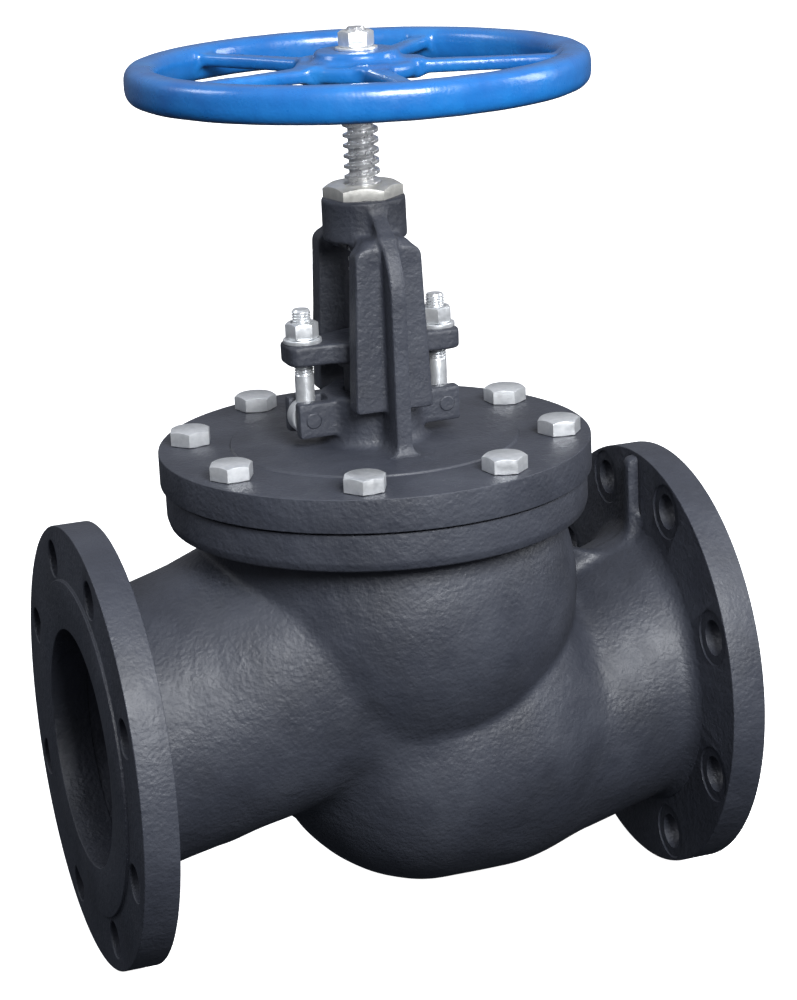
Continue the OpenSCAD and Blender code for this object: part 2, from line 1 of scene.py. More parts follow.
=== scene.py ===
"""Looks of a flanged globe valve.

Sand-cast body and yoke, machined flanges, bright fasteners and a painted handwheel. Fields
and profiles are in mm, with the stem axis as Z and the pipe axis as X. mesh_from turns them
into the frame.
"""
import math

import bpy
import numpy as np
from mathutils import Matrix, Vector


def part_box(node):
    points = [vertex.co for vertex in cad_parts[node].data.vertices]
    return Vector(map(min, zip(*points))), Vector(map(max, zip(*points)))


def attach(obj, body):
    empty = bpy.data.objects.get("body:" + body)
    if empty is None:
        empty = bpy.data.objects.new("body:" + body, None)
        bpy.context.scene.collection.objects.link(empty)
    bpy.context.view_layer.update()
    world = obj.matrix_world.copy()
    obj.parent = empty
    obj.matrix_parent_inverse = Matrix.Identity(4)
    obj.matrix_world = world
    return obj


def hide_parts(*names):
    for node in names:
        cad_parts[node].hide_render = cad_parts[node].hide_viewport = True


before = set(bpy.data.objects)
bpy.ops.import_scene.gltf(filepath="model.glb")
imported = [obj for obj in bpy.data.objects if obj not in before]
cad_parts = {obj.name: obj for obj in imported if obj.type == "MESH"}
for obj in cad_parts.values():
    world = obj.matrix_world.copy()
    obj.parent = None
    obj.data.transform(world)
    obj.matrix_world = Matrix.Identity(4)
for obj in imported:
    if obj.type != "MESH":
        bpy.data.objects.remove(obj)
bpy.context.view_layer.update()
MM = 0.001


def box_mm(node):
    """A CAD node's lowest and highest corners in mm."""
    return [np.array(corner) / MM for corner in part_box(node)]


# Levels and radii in mm, read from the frame.
body_lo, body_hi = box_mm("body")
HALF = (body_hi[0] - body_lo[0]) / 2
BODY_TOP = body_hi[2]
bonnet_hi = box_mm("bonnet")[1]
JOINT = BODY_TOP + 1.5
BOSS_TOP = bonnet_hi[2]
BONNET_R = bonnet_hi[1]
BONNET_TOP = JOINT + 21
STUFFING_TOP = JOINT + 54
gland_lo, gland_hi = box_mm("gland_flange")
wheel_lo, wheel_hi = box_mm("handwheel")
WHEEL_R = wheel_hi[1]
yoke_nut_hi = box_mm("yoke_nut")[1]
stem_hi = box_mm("stem")[1]
RIM_Z = BOSS_TOP + 75
FLANGE_R = -body_lo[2]
BACK = HALF - 24
FACE_R, FACE_H = 106, 2
PIPE_BOLT_CIRCLE_R = 120
BORE = 75.0
BODY_FLANGE_R, BODY_FLANGE_T = 133, 25
STEP_H = 1.6
BOLT_CIRCLE = 116.0
THREAD_PITCH, STEM_R = 6.35, 11
THREAD_Z = (278.6, wheel_lo[2] - 2)
LUG_Z = STUFFING_TOP - 13
EYE_X, EYE_R, PIN_R = 44.0, 11, 5
M12_R, M12_PITCH = 6, 1.75
SPOKES, SPOKE_PHASE = 5, 15


# ---------------------------------------------------------------- fields
def smin(a, b, k):
    """The smaller of two fields, blended over a width."""
    h = np.clip(0.5 + 0.5 * (b - a) / k, 0, 1)
    return b * (1 - h) + a * h - k * h * (1 - h)


def smax(a, b, k):
    """The larger of two fields, blended over a width."""
    return -smin(-a, -b, k)


def sphere(x, y, z, centre, r):
    """Distance from a ball."""
    return np.sqrt((x - centre[0]) ** 2 + (y - centre[1]) ** 2 + (z - centre[2]) ** 2) - r


def drum(rho, z, r, z0, z1, edge):
    """Upright cylinder between two heights with rounded edges."""
    return smax(rho - r, abs(z - (z0 + z1) / 2) - (z1 - z0) / 2, edge)


def block(x, y, z, lo, hi, edge):
    """A box between two corners with rounded edges."""
    d = [abs(v - (a + b) / 2) - (b - a) / 2 for v, a, b in zip((x, y, z), lo, hi)]
    return smax(smax(d[0], d[1], edge), d[2], edge)


def curve(stations, soft=14):
    """A smooth curve through (position, value) pairs, as a function."""
    s, v = np.array(stations, float).T
    t = np.arange(s[0] - 60, s[-1] + 60, 1.0)
    w = np.hanning(2 * soft + 3)
    raw = np.interp(t, s, v)
    padded = np.pad(raw, soft + 1, mode="edge")
    smooth = np.convolve(padded, w / w.sum(), mode="valid")
    return lambda p: np.interp(p, t, smooth)


def wobble(x, y, z, size, seed):
    """Slow waves that keep a casting from looking turned."""
    rng = np.random.default_rng(seed)
    total = 0
    for _ in range(5):
        k = rng.normal(size=3) / size
        total = total + np.sin(k[0] * x + k[1] * y + k[2] * z + rng.uniform(0, 6.28))
    return total / 5


# Section of the casting along the pipe: heights, half widths and axes against x.
inlet_top = curve([(-190, 89), (-150, 73), (-120, 60), (-90, 60), (-50, 71), (-22, 73)])
inlet_bottom = curve([(-190, -89.5), (-150, -101), (-120, -109), (-90, -116), (-50, -118),
                      (-22, -118)])
inlet_half = curve([(-190, 89.3), (-150, 88), (-120, 88), (-90, 92), (-50, 97), (-22, 97)])
outlet_axis = curve([(0, 46), (60, 40), (105, 25), (125, 18), (155, 10), (190, 0)])
outlet_r = curve([(0, 86), (60, 88), (105, 88.5), (125, 90), (155, 89), (190, 89.5)])
outlet_half = curve([(0, 99), (64, 99), (100, 95), (125, 92), (155, 89), (190, 89.5)])
throat_in_axis = curve([(-179, 0), (-150, -9), (-120, -22), (-90, -27), (-42, -21)], 8)
throat_in_r = curve([(-150, BORE), (-120, 73), (-90, 76), (-42, 85)], 8)
throat_out_axis = curve([(0, 46), (80, 26), (150, 0)])


def casting_outside(x, y, z):
    """Two barrels, the belly under the seat, the round bowl, the neck and the webs."""
    top, bottom, half = inlet_top(x), inlet_bottom(x), inlet_half(x)
    mid, tall = (top + bottom) / 2, (top - bottom) / 2
    inlet = np.sqrt((y / half) ** 2 + ((z - mid) / tall) ** 2) - 1
    inlet = inlet * np.minimum(half, tall)
    inlet = np.maximum(inlet, x + 15)
    belly = np.sqrt((x - np.clip(x, -58, -22)) ** 2 + y ** 2 + (z + 21) ** 2) - 102
    wide, high = outlet_half(x), outlet_r(x)
    power = 2 + 0.5 * np.clip((130 - x) / 60, 0, 1)
    outlet = (abs(y) / wide) ** power + (abs(z - outlet_axis(x)) / high) ** power
    outlet = (outlet ** (1 / power) - 1) * high
    outlet = np.maximum(outlet, -x - 5)
    rho = np.sqrt(x ** 2 + y ** 2)
    bowl = np.maximum(sphere(x, y, z, (-5, 0, 76), 120), z - 128)
    neck = drum(rho, z, 112, 100, BODY_TOP - 8, 1)
    bowl = smin(bowl, neck, 5)
    barrels = smin(smin(inlet, belly, 5), outlet, 12)
    rim = drum(rho, z, 121, BODY_TOP - 24.2, BODY_TOP - 8, 2)
    d = smin(smin(barrels, bowl, 3), rim, 8)
    # Fillets where the barrels run into the pipe flanges.
    turn = np.sqrt(y ** 2 + z ** 2)
    root = np.maximum(turn - 97, BACK + 1.0 - abs(x))
    d = smin(d, root, 13)
    # Stiffening web over the inlet, and the low one under the outlet.
    edge = smin(x + 172, z - 76 - 0.33 * (x + 150), 26)
    web = smax(smax(edge, z - 137, 6), abs(y) - 5, 3)
    web = np.maximum(web, np.maximum(x + 100, 20 - z))
    d = smin(d, web, 9)
    low = block(x, y, z, (30, -6, -66), (94, 6, 0), 3)
    return np.maximum(smin(d, low, 8), abs(x) - BACK - 14)


def casting_passages(x, y, z):
    """The S-shaped flow passage, with the seat's hole and the chamber over it."""
    rho = np.sqrt(x ** 2 + y ** 2)
    lift = z - np.where(x < 0, throat_in_axis(x), throat_out_axis(x))
    tube_in = np.sqrt(y ** 2 + lift ** 2) - throat_in_r(x) - np.where(x < -172, 0.6, 0)
    tube_in = np.maximum(tube_in, x + 40)
    inlet = smin(tube_in, sphere(x, y, z, (-22, 0, -21), 91), 14)
    inlet = smax(inlet, -np.maximum(rho - 107, -12 - z), 5)
    tube_out = np.maximum(np.sqrt(y ** 2 + lift ** 2) - BORE - np.where(x > 150, 0.6, 0), -x)
    shell = smax(sphere(x, y, z, (-22, 0, -21), 103), z - 8, 3)
    chamber_r = 86.6 + 12 * np.clip((z - 30) / 12, 0, 1)
    chamber = np.maximum(rho - chamber_r, 8 - z)
    outlet = smin(smax(tube_out, -shell, 5), chamber, 6)
    seat = drum(rho, z, 76.3, -20, 15, 1)
    return np.minimum(np.minimum(inlet, outlet), seat)


def casting(x, y, z):
    """The body's cast part, with the flanges left out."""
    d = smax(casting_outside(x, y, z), -casting_passages(x, y, z), 3)
    return d + 0.35 * wobble(x, y, z, 14, 3)


def yoke(x, y, z):
    """The column round the packing, both legs with their ribs, the boss and the lugs."""
    rho, side = np.sqrt(x ** 2 + y ** 2), abs(y)
    column = drum(rho, z, 31, BONNET_TOP - 8, STUFFING_TOP, 3)
    base = drum(rho, z, 57, BONNET_TOP - 10, BONNET_TOP + 1.2, 1)
    boss = drum(rho, z, 26, BOSS_TOP - 26, BOSS_TOP, 2.5)
    leg_top, leg_low = BOSS_TOP - 26, STUFFING_TOP - 6
    half = 21 + 4 * (leg_top - z) / (leg_top - leg_low)
    face = smax(smax(abs(x) - half, z - leg_top, 7), leg_low - z, 3)
    plate = smax(face, abs(side - 35) - 7, 2)
    slope = ((side - 57) * 28.5 + (z - 293) * 32) / 42.9
    inner = np.interp(z, [205, 206, 296, 303], [27, 29, 29, 19])
    rib = smax(smax(side - 57, slope, 16), BONNET_TOP - 8 - z, 1)
    rib = smax(smax(rib, inner - side, 2), abs(x) - 5, 2)
    bridge = block(x, side, z, (-15, 10, leg_top - 8), (15, 40, leg_top + 5), 5)
    lug = block(abs(x), y, z, (20, -15, LUG_Z - 11), (53, 15, LUG_Z + 11), 2)
    slot = block(abs(x), y, z, (31.5, -6.7, LUG_Z - 30), (90, 6.7, LUG_Z + 30), 1)
    lug = smax(lug, -slot, 1.5)
    d = smin(plate, rib, 3)
    d = smin(smin(d, bridge, 5), boss, 4)
    d = smin(smin(d, column, 4), lug, 4)
    d = smin(d, base, 9)
    d = np.maximum(d, -smax(slot, LUG_Z - 13 - z, 1))
    return np.maximum(d, BONNET_TOP - 7 - z) + 0.22 * wobble(x, y, z, 7, 5)


def wheel(x, y, z):
    """The handwheel: a boxy rim, flat spokes that end inside it, and the hub."""
    rho = np.sqrt(x ** 2 + y ** 2)
    rim = (abs(rho - WHEEL_R + 10) / 10) ** 3 + (abs(z - RIM_Z) / 11) ** 3
    rim = rim ** (1 / 3) * 10 - 10
    top = RIM_Z + 6.5
    spokes = None
    for i in range(SPOKES):
        a = math.radians(SPOKE_PHASE + 360 / SPOKES * i)
        along, across = x * math.cos(a) + y * math.sin(a), -x * math.sin(a) + y * math.cos(a)
        wide = 5.5 + 2.5 * np.clip((85 - along) / 50, 0, 1)
        wide = wide + 3 * np.clip((along - 108) / 18, 0, 1) ** 2
        bar = smax(abs(across) - wide, abs(z - top + 4) - 4, 3)
        bar = np.maximum(bar, np.maximum(14 - along, along - WHEEL_R + 9))
        spokes = bar if spokes is None else np.minimum(spokes, bar)
    plate = drum(rho, z, 38, top - 9, top + 0.6, 4)
    hub = drum(rho, z, 26, wheel_lo[2], wheel_hi[2], 3)
    d = smin(smin(rim, spokes, 4), smin(plate, hub, 5), 7)
    return d + 0.15 * wobble(x, y, z, 9, 8)


def gland_plate(x, y, z):
    """The two-armed flange that presses on the packing."""
    rho = np.sqrt(x ** 2 + y ** 2)
    arms = smax(abs(x) - gland_hi[0] + HALF, abs(y) - 14, 8)
    flat = smin(rho - 25, arms, 14)
    middle_z, half_t = (gland_lo[2] + gland_hi[2]) / 2, (gland_hi[2] - gland_lo[2]) / 2
    d = smax(flat, abs(z - middle_z) - half_t, 2.5)
    bolts = np.sqrt((abs(x) - EYE_X) ** 2 + y ** 2) - 6.9
    return np.maximum(d, -np.minimum(rho - 12.6, bolts)) + 0.12 * wobble(x, y, z, 6, 9)


# ---------------------------------------------------------------- meshes
def mesh_from(name, verts, faces, material=0):
    """A mesh in metres from mm points in the stem frame and equal-sized faces."""
    verts = np.asarray(verts, float) * MM
    verts[:, 0] += HALF * MM
    faces = np.asarray(faces, np.int32)
    me = bpy.data.meshes.new(name)
    me.vertices.add(len(verts))
    me.vertices.foreach_set("co", verts.ravel())
    me.loops.add(faces.size)
    me.loops.foreach_set("vertex_index", faces.ravel())
    me.polygons.add(len(faces))
    me.polygons.foreach_set("loop_start", np.arange(0, faces.size, faces.shape[1], dtype=np.int32))
    me.polygons.foreach_set("material_index", np.full(len(faces), material, np.int32))
    me.update(calc_edges=True)
    me.validate()
    return me


def skin(name, field, lo, hi, step):
    """Quad mesh of a field's zero surface: surface nets, then two steps onto the surface."""
    lo, hi = np.array(lo, float), np.array(hi, float)
    n = np.ceil((hi - lo) / step).astype(int) + 1
    axes = [lo[i] + step * np.arange(n[i]) for i in range(3)]
    grid = np.meshgrid(*axes, indexing="ij", sparse=True)
    f = np.broadcast_to(field(*grid), tuple(n)).astype(np.float32)
    inside = f < 0
    corners = [(i, j, k) for i in (0, 1) for j in (0, 1) for k in (0, 1)]
    count = sum(inside[i:n[0] - 1 + i, j:n[1] - 1 + j, k:n[2] - 1 + k].astype(np.int8)
                for i, j, k in corners)
    mixed = (count > 0) & (count < 8)
    cells = np.argwhere(mixed)
    index = np.full(mixed.shape, -1, np.int32)
    index[mixed] = np.arange(len(cells))
    total, hits = np.zeros((len(cells), 3)), np.zeros(len(cells))
    for a in corners:
        for axis in range(3):
            if a[axis]:
                continue
            b = tuple(v + (i == axis) for i, v in enumerate(a))
            fa, fb = f[tuple((cells + a).T)], f[tuple((cells + b).T)]
            cross = (fa < 0) != (fb < 0)
            t = np.where(cross, fa / np.where(cross, fa - fb, 1), 0)
            point = np.array(a, float) + t[:, None] * (np.array(b) - np.array(a))
            total += np.where(cross[:, None], point, 0)
            hits += cross
    verts = lo + step * (cells + total / hits[:, None])
    quads = []
    for axis in range(3):
        u, v = (axis + 1) % 3, (axis + 2) % 3
        cut = [slice(None)] * 3
        cut[axis] = slice(0, n[axis] - 1)
        up = [slice(None)] * 3
        up[axis] = slice(1, n[axis])
        here, there = inside[tuple(cut)], inside[tuple(up)]
        e = np.argwhere(here != there)
        e = e[(e[:, u] > 0) & (e[:, v] > 0) & (e[:, u] < n[u] - 1) & (e[:, v] < n[v] - 1)]
        du, dv = np.eye(3, dtype=int)[u], np.eye(3, dtype=int)[v]
        q = np.stack([index[tuple((e - o).T)] for o in (du + dv, dv, 0 * du, du)], 1)
        flip = ~here[tuple(e.T)]
        q[flip] = q[flip][:, ::-1]
        quads.append(q)
    h = 0.05
    for _ in range(2):
        p = verts.T
        d = field(*p)
        nudges = [h * np.eye(3)[i][:, None] for i in range(3)]
        g = np.stack([(field(*(p + e)) - field(*(p - e))) / (2 * h) for e in nudges], 1)
        move = (d / np.maximum((g ** 2).sum(1), 0.05))[:, None] * g
        size = np.linalg.norm(move, axis=1, keepdims=True)
        verts = verts - move * np.minimum(1, 0.45 * step / np.maximum(size, 1e-9))
    return mesh_from(name, verts, np.concatenate(quads))


def rounded(points, r, n=3):
    """A closed outline with each corner turned into a small arc."""
    pts = [Vector(p) for p in points]
    out = []
    for i, p in enumerate(pts):
        a, b = pts[i - 1] - p, pts[(i + 1) % len(pts)] - p
        reach = min(r, a.length * 0.45, b.length * 0.45)
        if reach < 1e-3 or abs(a.normalized().cross(b.normalized())) < 1e-3:
            out.append(tuple(p))
            continue
        start, end = p + a.normalized() * reach, p + b.normalized() * reach
        for k in range(n + 1):
            t = k / n
            out.append(tuple(start * (1 - t) ** 2 + p * 2 * t * (1 - t) + end * t ** 2))
    return out


def placed(verts, place):
    """Points moved by a matrix."""
    spin = np.array(place)
    return verts @ spin[:3, :3].T + spin[:3, 3]


def revolve(name, outline, n=128, place=Matrix(), material=0):
    """A ring turned from a closed outline of (radius, height) points, none on the axis."""
    outline = np.array(outline, float)
    m, a = len(outline), np.linspace(0, 2 * np.pi, n, endpoint=False)
    r, z = outline[:, 0][:, None], outline[:, 1][:, None] + 0 * a
    verts = np.stack([r * np.cos(a), r * np.sin(a), z], 2).reshape(-1, 3)
    i, j = np.meshgrid(np.arange(m), np.arange(n), indexing="ij")
    i2, j2 = (i + 1) % m, (j + 1) % n
    faces = np.stack([i * n + j, i * n + j2, i2 * n + j2, i2 * n + j], 2).reshape(-1, 4)
    following = np.roll(outline, -1, axis=0)
    if np.sum(outline[:, 0] * following[:, 1] - following[:, 0] * outline[:, 1]) < 0:
        faces = faces[:, ::-1]
    return mesh_from(name, placed(verts, place), faces, material)


def tower(name, rows, radius, n=48, place=Matrix()):
    """A closed solid round Z, capped flat: radius(angles, height, row) at each row height."""
    a = np.linspace(0, 2 * np.pi, n, endpoint=False)
    rows = np.array(rows, float)
    r = np.stack([radius(a, z, i) for i, z in enumerate(rows)])
    z = np.repeat(rows[:, None], n, 1)
    verts = np.stack([r * np.cos(a), r * np.sin(a), z], 2).reshape(-1, 3)
    m = len(rows)
    i, j = np.meshgrid(np.arange(m - 1), np.arange(n), indexing="ij")
    j2 = (j + 1) % n
    faces = np.stack([i * n + j, i * n + j2, (i + 1) * n + j2, (i + 1) * n + j], 2).reshape(-1, 4)
    verts = np.vstack([verts, [[0, 0, rows[0]], [0, 0, rows[-1]]]])
    low, high = len(verts) - 2, len(verts) - 1
    caps = []
    for k in range(0, n, 2):
        k1, k2 = (k + 1) % n, (k + 2) % n
        caps.append([low, k2, k1, k])
        caps.append([high, (m - 1) * n + k, (m - 1) * n + k1, (m - 1) * n + k2])
    return mesh_from(name, placed(verts, place), np.vstack([faces, caps]))


def solid(name, points, n=64, place=Matrix()):
    """A turned solid from (radius, height) points going up."""
    return tower(name, [p[1] for p in points], lambda a, z, i: points[i][0] + 0 * a, n, place)


def hexagon(a, af):
    """Distance from the middle of a hexagon to its wall at an angle."""
    return af / 2 / np.cos((a + np.pi / 6) % (np.pi / 3) - np.pi / 6)


def hex_solid(name, af, h, place=Matrix(), both=False, n=96):
    """A hexagon with its corners turned off by a shallow cone on top, and below too for a nut."""
    crown, slope = af / 2 * 0.95, math.tan(math.radians(30))
    a = np.linspace(0, 2 * np.pi, n, endpoint=False)
    wall = hexagon(a, af)
    drop = (wall - crown) * slope
    rings = []
    if both:
        rings += [(crown + 0 * a, 0 * a), (wall - 0.02, drop)]
    else:
        rings += [(wall - 0.02, 0 * a)]
    rings += [(wall, (drop if both else 0 * a) + 0.15), (wall, h - drop - 0.15),
              (wall - 0.05, h - drop), (crown + 0 * a, h + 0 * a)]
    verts = np.concatenate([np.stack([r * np.cos(a), r * np.sin(a), z], 1) for r, z in rings])
    m = len(rings)
    faces = [[i * n + j, i * n + (j + 1) % n, (i + 1) * n + (j + 1) % n, (i + 1) * n + j]
             for i in range(m - 1) for j in range(n)]
    verts = np.vstack([verts, [[0, 0, 0], [0, 0, h]]])
    low, high = len(verts) - 2, len(verts) - 1
    for k in range(0, n, 2):
        faces.append([low, (k + 2) % n, k + 1, k])
        faces.append([high, (m - 1) * n + k, (m - 1) * n + k + 1, (m - 1) * n + (k + 2) % n])
    return mesh_from(name, placed(verts, place), faces)


def thread_rows(z0, z1, pitch, per_turn):
    """Heights that follow a thread closely enough to draw it."""
    return list(np.linspace(z0, z1, max(2, int((z1 - z0) / pitch * per_turn))))


def thread_cut(a, z, pitch, depth, crest, root):
    """How far a helical thread is cut below its outside at an angle and a height."""
    t = abs(((z / pitch - a / (2 * np.pi)) % 1) - 0.5) * 2
    return depth * np.clip((t - crest) / (1 - crest - root), 0, 1)


def studding(name, r, z0, z1, pitch, place, plain_to, n=36):
    """A round bar with a fine thread above plain_to and a chamfered end."""
    rows = [z0, z0 + 0.8] + thread_rows(plain_to, z1 - 1.2, pitch, 8) + [z1]
    depth = 0.55 * pitch

    def radius(a, z, i):
        if i == 0 or i == len(rows) - 1:
            return r - 1.2 + 0 * a
        fade = np.clip((z - plain_to) / pitch, 0, 1)
        return r - fade * thread_cut(a, z, pitch, depth, 0.12, 0.12)
    return tower(name, rows, radius, n, place)


def merged(name, meshes):
    """Several meshes as one, without joining their surfaces."""
    verts, loops, starts, mats, base = [], [], [], [], 0
    for me in meshes:
        co = np.empty(len(me.vertices) * 3)
        me.vertices.foreach_get("co", co)
        verts.append(co)
        li = np.empty(len(me.loops), np.int32)
        me.loops.foreach_get("vertex_index", li)
        ls = np.empty(len(me.polygons), np.int32)
        me.polygons.foreach_get("loop_start", ls)
        mi = np.empty(len(me.polygons), np.int32)
        me.polygons.foreach_get("material_index", mi)
        starts.append(ls + sum(len(x) for x in loops))
        loops.append(li + base)
        mats.append(mi)
        base += len(me.vertices)
    out = bpy.data.meshes.new(name)
    out.vertices.add(base)
    out.vertices.foreach_set("co", np.concatenate(verts))
    loops, starts, mats = np.concatenate(loops), np.concatenate(starts), np.concatenate(mats)
    out.loops.add(len(loops))
    out.loops.foreach_set("vertex_index", loops)
    out.polygons.add(len(starts))
    out.polygons.foreach_set("loop_start", starts)
    out.polygons.foreach_set("material_index", mats)
    out.update(calc_edges=True)
    out.validate()
    return out


def carve(me, other, operation):
    """Boolean of two meshes, each closed. The materials keep their places."""
    pair = [bpy.data.objects.new("carve", m) for m in (me, other)]
    for o in pair:
        while len(o.data.materials) < 3:
            o.data.materials.append(None)
        bpy.context.scene.collection.objects.link(o)
    mod = pair[0].modifiers.new("b", "BOOLEAN")
    mod.operation, mod.object, mod.material_mode = operation, pair[1], "INDEX"
    fewest = (0.6 if operation == "UNION" else 0.3) * len(me.polygons)
    for solver in ("MANIFOLD", "EXACT"):
        mod.solver = solver
        bpy.context.view_layer.update()
        graph = bpy.context.evaluated_depsgraph_get()
        out = bpy.data.meshes.new_from_object(pair[0].evaluated_get(graph))
        if len(out.polygons) > fewest:
            break
        print("carve: solver", solver, "gave", len(out.polygons), "faces from", len(me.polygons))
    for o in pair:
        bpy.data.objects.remove(o)
    return out


def turned(angle, x=0.0, z=0.0):
    """Place at a radius along +X, turned about the stem axis."""
    return Matrix.Rotation(math.radians(angle), 4, "Z") @ Matrix.Translation((x, 0, z))


ALONG_Y = Matrix.Rotation(math.radians(-90), 4, "X")


def piece(name, me, body, slot, materials, replaces, sharp=32):
    """A finished piece of the object."""
    me.materials.clear()
    for m in materials:
        me.materials.append(m)
    top = len(materials) - 1
    idx = np.empty(len(me.polygons), np.int32)
    me.polygons.foreach_get("material_index", idx)
    me.polygons.foreach_set("material_index", np.minimum(idx, top))
    me.polygons.foreach_set("use_smooth", np.ones(len(me.polygons), bool))
    me.set_sharp_from_angle(angle=math.radians(sharp))
    me.update()
    obj = bpy.data.objects.new(name, me)
    bpy.context.scene.collection.objects.link(obj)
    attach(obj, body)
    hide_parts(*replaces)


# ---------------------------------------------------------------- materials
class Look:
    """A principled material put together from procedural nodes."""

    def __init__(self, name, **inputs):
        self.mat = bpy.data.materials.new(name)
        self.mat.use_nodes = True
        self.tree = self.mat.node_tree
        self.shader = next(n for n in self.tree.nodes if n.type == "BSDF_PRINCIPLED")
        self.coord = self.tree.nodes.new("ShaderNodeTexCoord").outputs["Object"]
        self.normal = None
        for key, value in inputs.items():
            self.shader.inputs[key.replace("_", " ")].default_value = value

    def node(self, kind):
        return self.tree.nodes.new("ShaderNode" + kind)

    def link(self, a, b):
        self.tree.links.new(a, b)

    def noise(self, scale, detail=4.0, rough=0.55, stretch=None):
        n = self.node("TexNoise")
        n.inputs["Scale"].default_value = scale
        n.inputs["Detail"].default_value = detail
        n.inputs["Roughness"].default_value = rough
        source = self.coord
        if stretch:
            mapping = self.node("Mapping")
            mapping.inputs["Scale"].default_value = stretch
            self.link(self.coord, mapping.inputs["Vector"])
            source = mapping.outputs["Vector"]
        self.link(source, n.inputs["Vector"])
        return n.outputs["Fac"]

    def cells(self, scale):
        n = self.node("TexVoronoi")
        n.feature = "SMOOTH_F1"
        n.inputs["Scale"].default_value = scale
        self.link(self.coord, n.inputs["Vector"])
        return n.outputs["Distance"]

    def spread(self, value, lo, hi):
        """A noise's usual range spread between two values."""
        n = self.node("MapRange")
        n.inputs["From Min"].default_value = 0.3
        n.inputs["From Max"].default_value = 0.7
        n.inputs["To Min"].default_value = lo
        n.inputs["To Max"].default_value = hi
        self.link(value, n.inputs["Value"])
        return n.outputs["Result"]

    def colours(self, value, stops):
        n = self.node("ValToRGB")
        ramp = n.color_ramp
        while len(ramp.elements) < len(stops):
            ramp.elements.new(0.5)
        for element, (place, colour) in zip(ramp.elements, stops):
            element.position = place
            element.color = (*colour, 1)
        self.link(value, n.inputs["Fac"])
        self.link(n.outputs["Color"], self.shader.inputs["Base Color"])

    def roughness(self, value):
        self.link(value, self.shader.inputs["Roughness"])

    def bump(self, height, depth_mm, strength):
        n = self.node("Bump")
        n.inputs["Strength"].default_value = strength
        n.inputs["Distance"].default_value = depth_mm * MM
        self.link(height, n.inputs["Height"])
        if self.normal:
            self.link(self.normal, n.inputs["Normal"])
        self.normal = n.outputs["Normal"]
        self.link(self.normal, self.shader.inputs["Normal"])


def cast_paint():
    """Black paint over a sand-cast skin."""
    look = Look("cast_paint", Specular_IOR_Level=0.5)
    look.colours(look.noise(18, 5, 0.6), [
        (0.28, (0.019, 0.0212, 0.029)), (0.5, (0.028, 0.031, 0.042)),
        (0.74, (0.040, 0.044, 0.057))])
    look.roughness(look.spread(look.noise(60, 4), 0.46, 0.6))
    look.bump(look.noise(150, 5, 0.62), 1.5, 0.55)
    look.bump(look.cells(420), 0.5, 0.5)
    look.bump(look.noise(1300, 2), 0.12, 0.5)
    return look.mat


def shaded_flange_paint():
    """Smoother black paint on the turned flanges, coloured darker than the casting's paint as
    painted shade.
    """
    look = Look("shaded_flange_paint", Specular_IOR_Level=0.5)
    # Colour darker than the casting's paint: painted shade for the flanges' dark faces and rims.
    look.colours(look.noise(24, 5, 0.6), [
        (0.3, (0.0055, 0.0066, 0.0100)), (0.7, (0.0105, 0.0125, 0.0180))])
    look.roughness(look.spread(look.noise(90, 4), 0.27, 0.4))
    look.bump(look.noise(240, 4, 0.5), 0.35, 0.35)
    look.bump(look.noise(1500, 2), 0.06, 0.5)
    return look.mat


def metal(name, dark, light, rough, scale=220, bump=0.05, stretch=None):
    """Bare or plated metal, between two colours and two roughnesses."""
    look = Look(name, Metallic=0.8)
    look.colours(look.noise(scale, 4, 0.6, stretch), [(0.25, dark), (0.75, light)])
    look.roughness(look.spread(look.noise(scale * 1.7, 3), rough[0], rough[1]))
    look.bump(look.noise(scale * 4, 3, 0.6, stretch), bump, 0.5)
    return look.mat


def wheel_paint():
    """Glossy blue paint over a cast wheel."""
    look = Look("wheel_paint", Specular_IOR_Level=0.5, Coat_Weight=0.35, Coat_Roughness=0.12)
    look.colours(look.noise(30, 5, 0.6), [
        (0.28, (0.006, 0.085, 0.30)), (0.6, (0.009, 0.125, 0.38)), (0.8, (0.02, 0.17, 0.45))])
    look.roughness(look.spread(look.noise(80, 3), 0.24, 0.38))
    look.bump(look.noise(300, 4, 0.55), 0.5, 0.4)
    look.bump(look.cells(650), 0.16, 0.35)
    return look.mat


def dull(name, dark, light, rough, scale=400):
    """Graphite sheet and braid."""
    look = Look(name)
    look.colours(look.noise(scale, 5), [(0.3, dark), (0.7, light)])
    look.roughness(look.spread(look.noise(scale / 2, 3), rough, rough + 0.15))
    look.bump(look.noise(scale * 2, 4), 0.2, 0.6)
    return look.mat


CAST, SHADED_MACHINED = cast_paint(), shaded_flange_paint()
ZINC = metal("zinc_plate", (0.66, 0.68, 0.70), (0.86, 0.87, 0.88), (0.28, 0.42))
STEEL = metal("bright_steel", (0.60, 0.60, 0.61), (0.82, 0.82, 0.82), (0.24, 0.36), 160,
              stretch=(1, 1, 6))
YOKE_BRONZE = metal("pale_bronze", (0.66, 0.65, 0.60), (0.82, 0.80, 0.75), (0.32, 0.46))
BRONZE = metal("bronze", (0.50, 0.33, 0.16), (0.68, 0.48, 0.26), (0.28, 0.42))
WHEEL = wheel_paint()
GASKET = dull("gasket_sheet", (0.018, 0.018, 0.018), (0.04, 0.04, 0.04), 0.7)
PACKING = dull("packing_braid", (0.02, 0.02, 0.02), (0.05, 0.05, 0.05), 0.6, 700)

